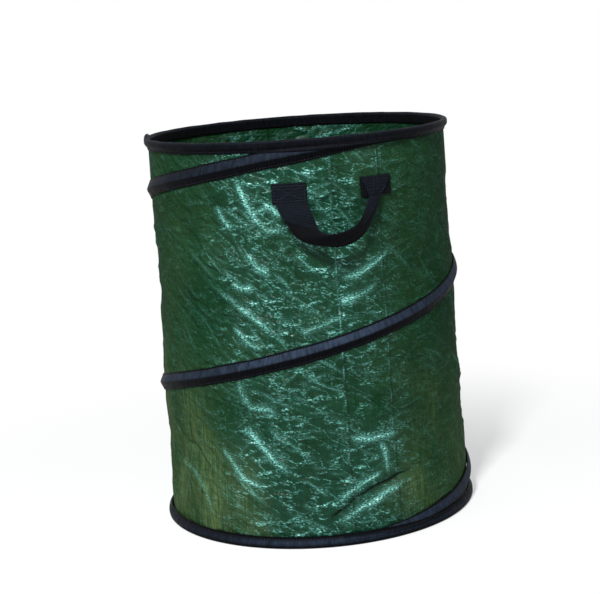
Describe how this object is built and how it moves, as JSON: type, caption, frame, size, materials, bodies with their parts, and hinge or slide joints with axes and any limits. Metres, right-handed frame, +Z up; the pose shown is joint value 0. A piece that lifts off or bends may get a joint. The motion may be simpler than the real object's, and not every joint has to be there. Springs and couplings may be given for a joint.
{
  "type": "garden waste bag",
  "caption": "Open-topped pop-up bag of woven cloth, held up by a sprung wire in a wound sleeve between two hoops, with webbing handles on opposite sides.",
  "frame": {"origin": "middle of the base, on the ground", "axes": "+Z up along the bag's axis to the mouth, -Y out through the front handle, +X to the right seen from the front"},
  "size_m": [0.4738, 0.548, 0.5801],
  "materials": {
    "cloth": "laminated woven plastic, dark green, glossy",
    "tape": "black binding tape, satin",
    "webbing": "black ribbed webbing, matt",
    "spring_wire": "drawn spring steel",
    "crimp": "plain"
  },
  "bodies": {
    "base": {"base_panel": "cloth", "base_tape": "tape", "base_hoop": "spring_wire", "base_hoop_crimp": "crimp", "wall_panel": "cloth", "coil_spring": "spring_wire", "coil_sleeve": "tape"},
    "rim": {"rim_tape": "tape", "rim_hoop": "spring_wire", "rim_hoop_crimp": "crimp"},
    "front_handle_ends": {"front_handle_sewn_end_left": "webbing", "front_handle_sewn_end_right": "webbing"},
    "front_handle_loop": {"front_handle_loop": "webbing"},
    "rear_handle_ends": {"rear_handle_sewn_end_left": "webbing", "rear_handle_sewn_end_right": "webbing"},
    "rear_handle_loop": {"rear_handle_loop": "webbing"}
  },
  "joints": [
    {"name": "rim_collapse", "type": "slide", "parent": "base", "child": "rim", "axis": [0, 0, 1], "range_m": [-0.45, 0], "stiffness_N_per_m": 60, "springref_m": 0.3, "deforming": ["wall_panel", "coil_spring", "coil_sleeve"]},
    {"name": "front_handle_drop", "type": "slide", "parent": "base", "child": "front_handle_ends", "axis": [0, 0, 1], "range_m": [-0.4095, 0]},
    {"name": "front_handle_swing", "type": "hinge", "parent": "front_handle_ends", "child": "front_handle_loop", "pos_m": [0, -0.22059, 0.492], "axis": [-1, 0, 0], "range_deg": [0, 100]},
    {"name": "rear_handle_drop", "type": "slide", "parent": "base", "child": "rear_handle_ends", "axis": [0, 0, 1], "range_m": [-0.4095, 0]},
    {"name": "rear_handle_swing", "type": "hinge", "parent": "rear_handle_ends", "child": "rear_handle_loop", "pos_m": [0, 0.22059, 0.492], "axis": [1, 0, 0], "range_deg": [0, 100]}
  ],
  "couplings": [
    {"joint": "front_handle_drop", "follows": "rim_collapse", "ratio": 0.91},
    {"joint": "rear_handle_drop", "follows": "rim_collapse", "ratio": 0.91}
  ]
}
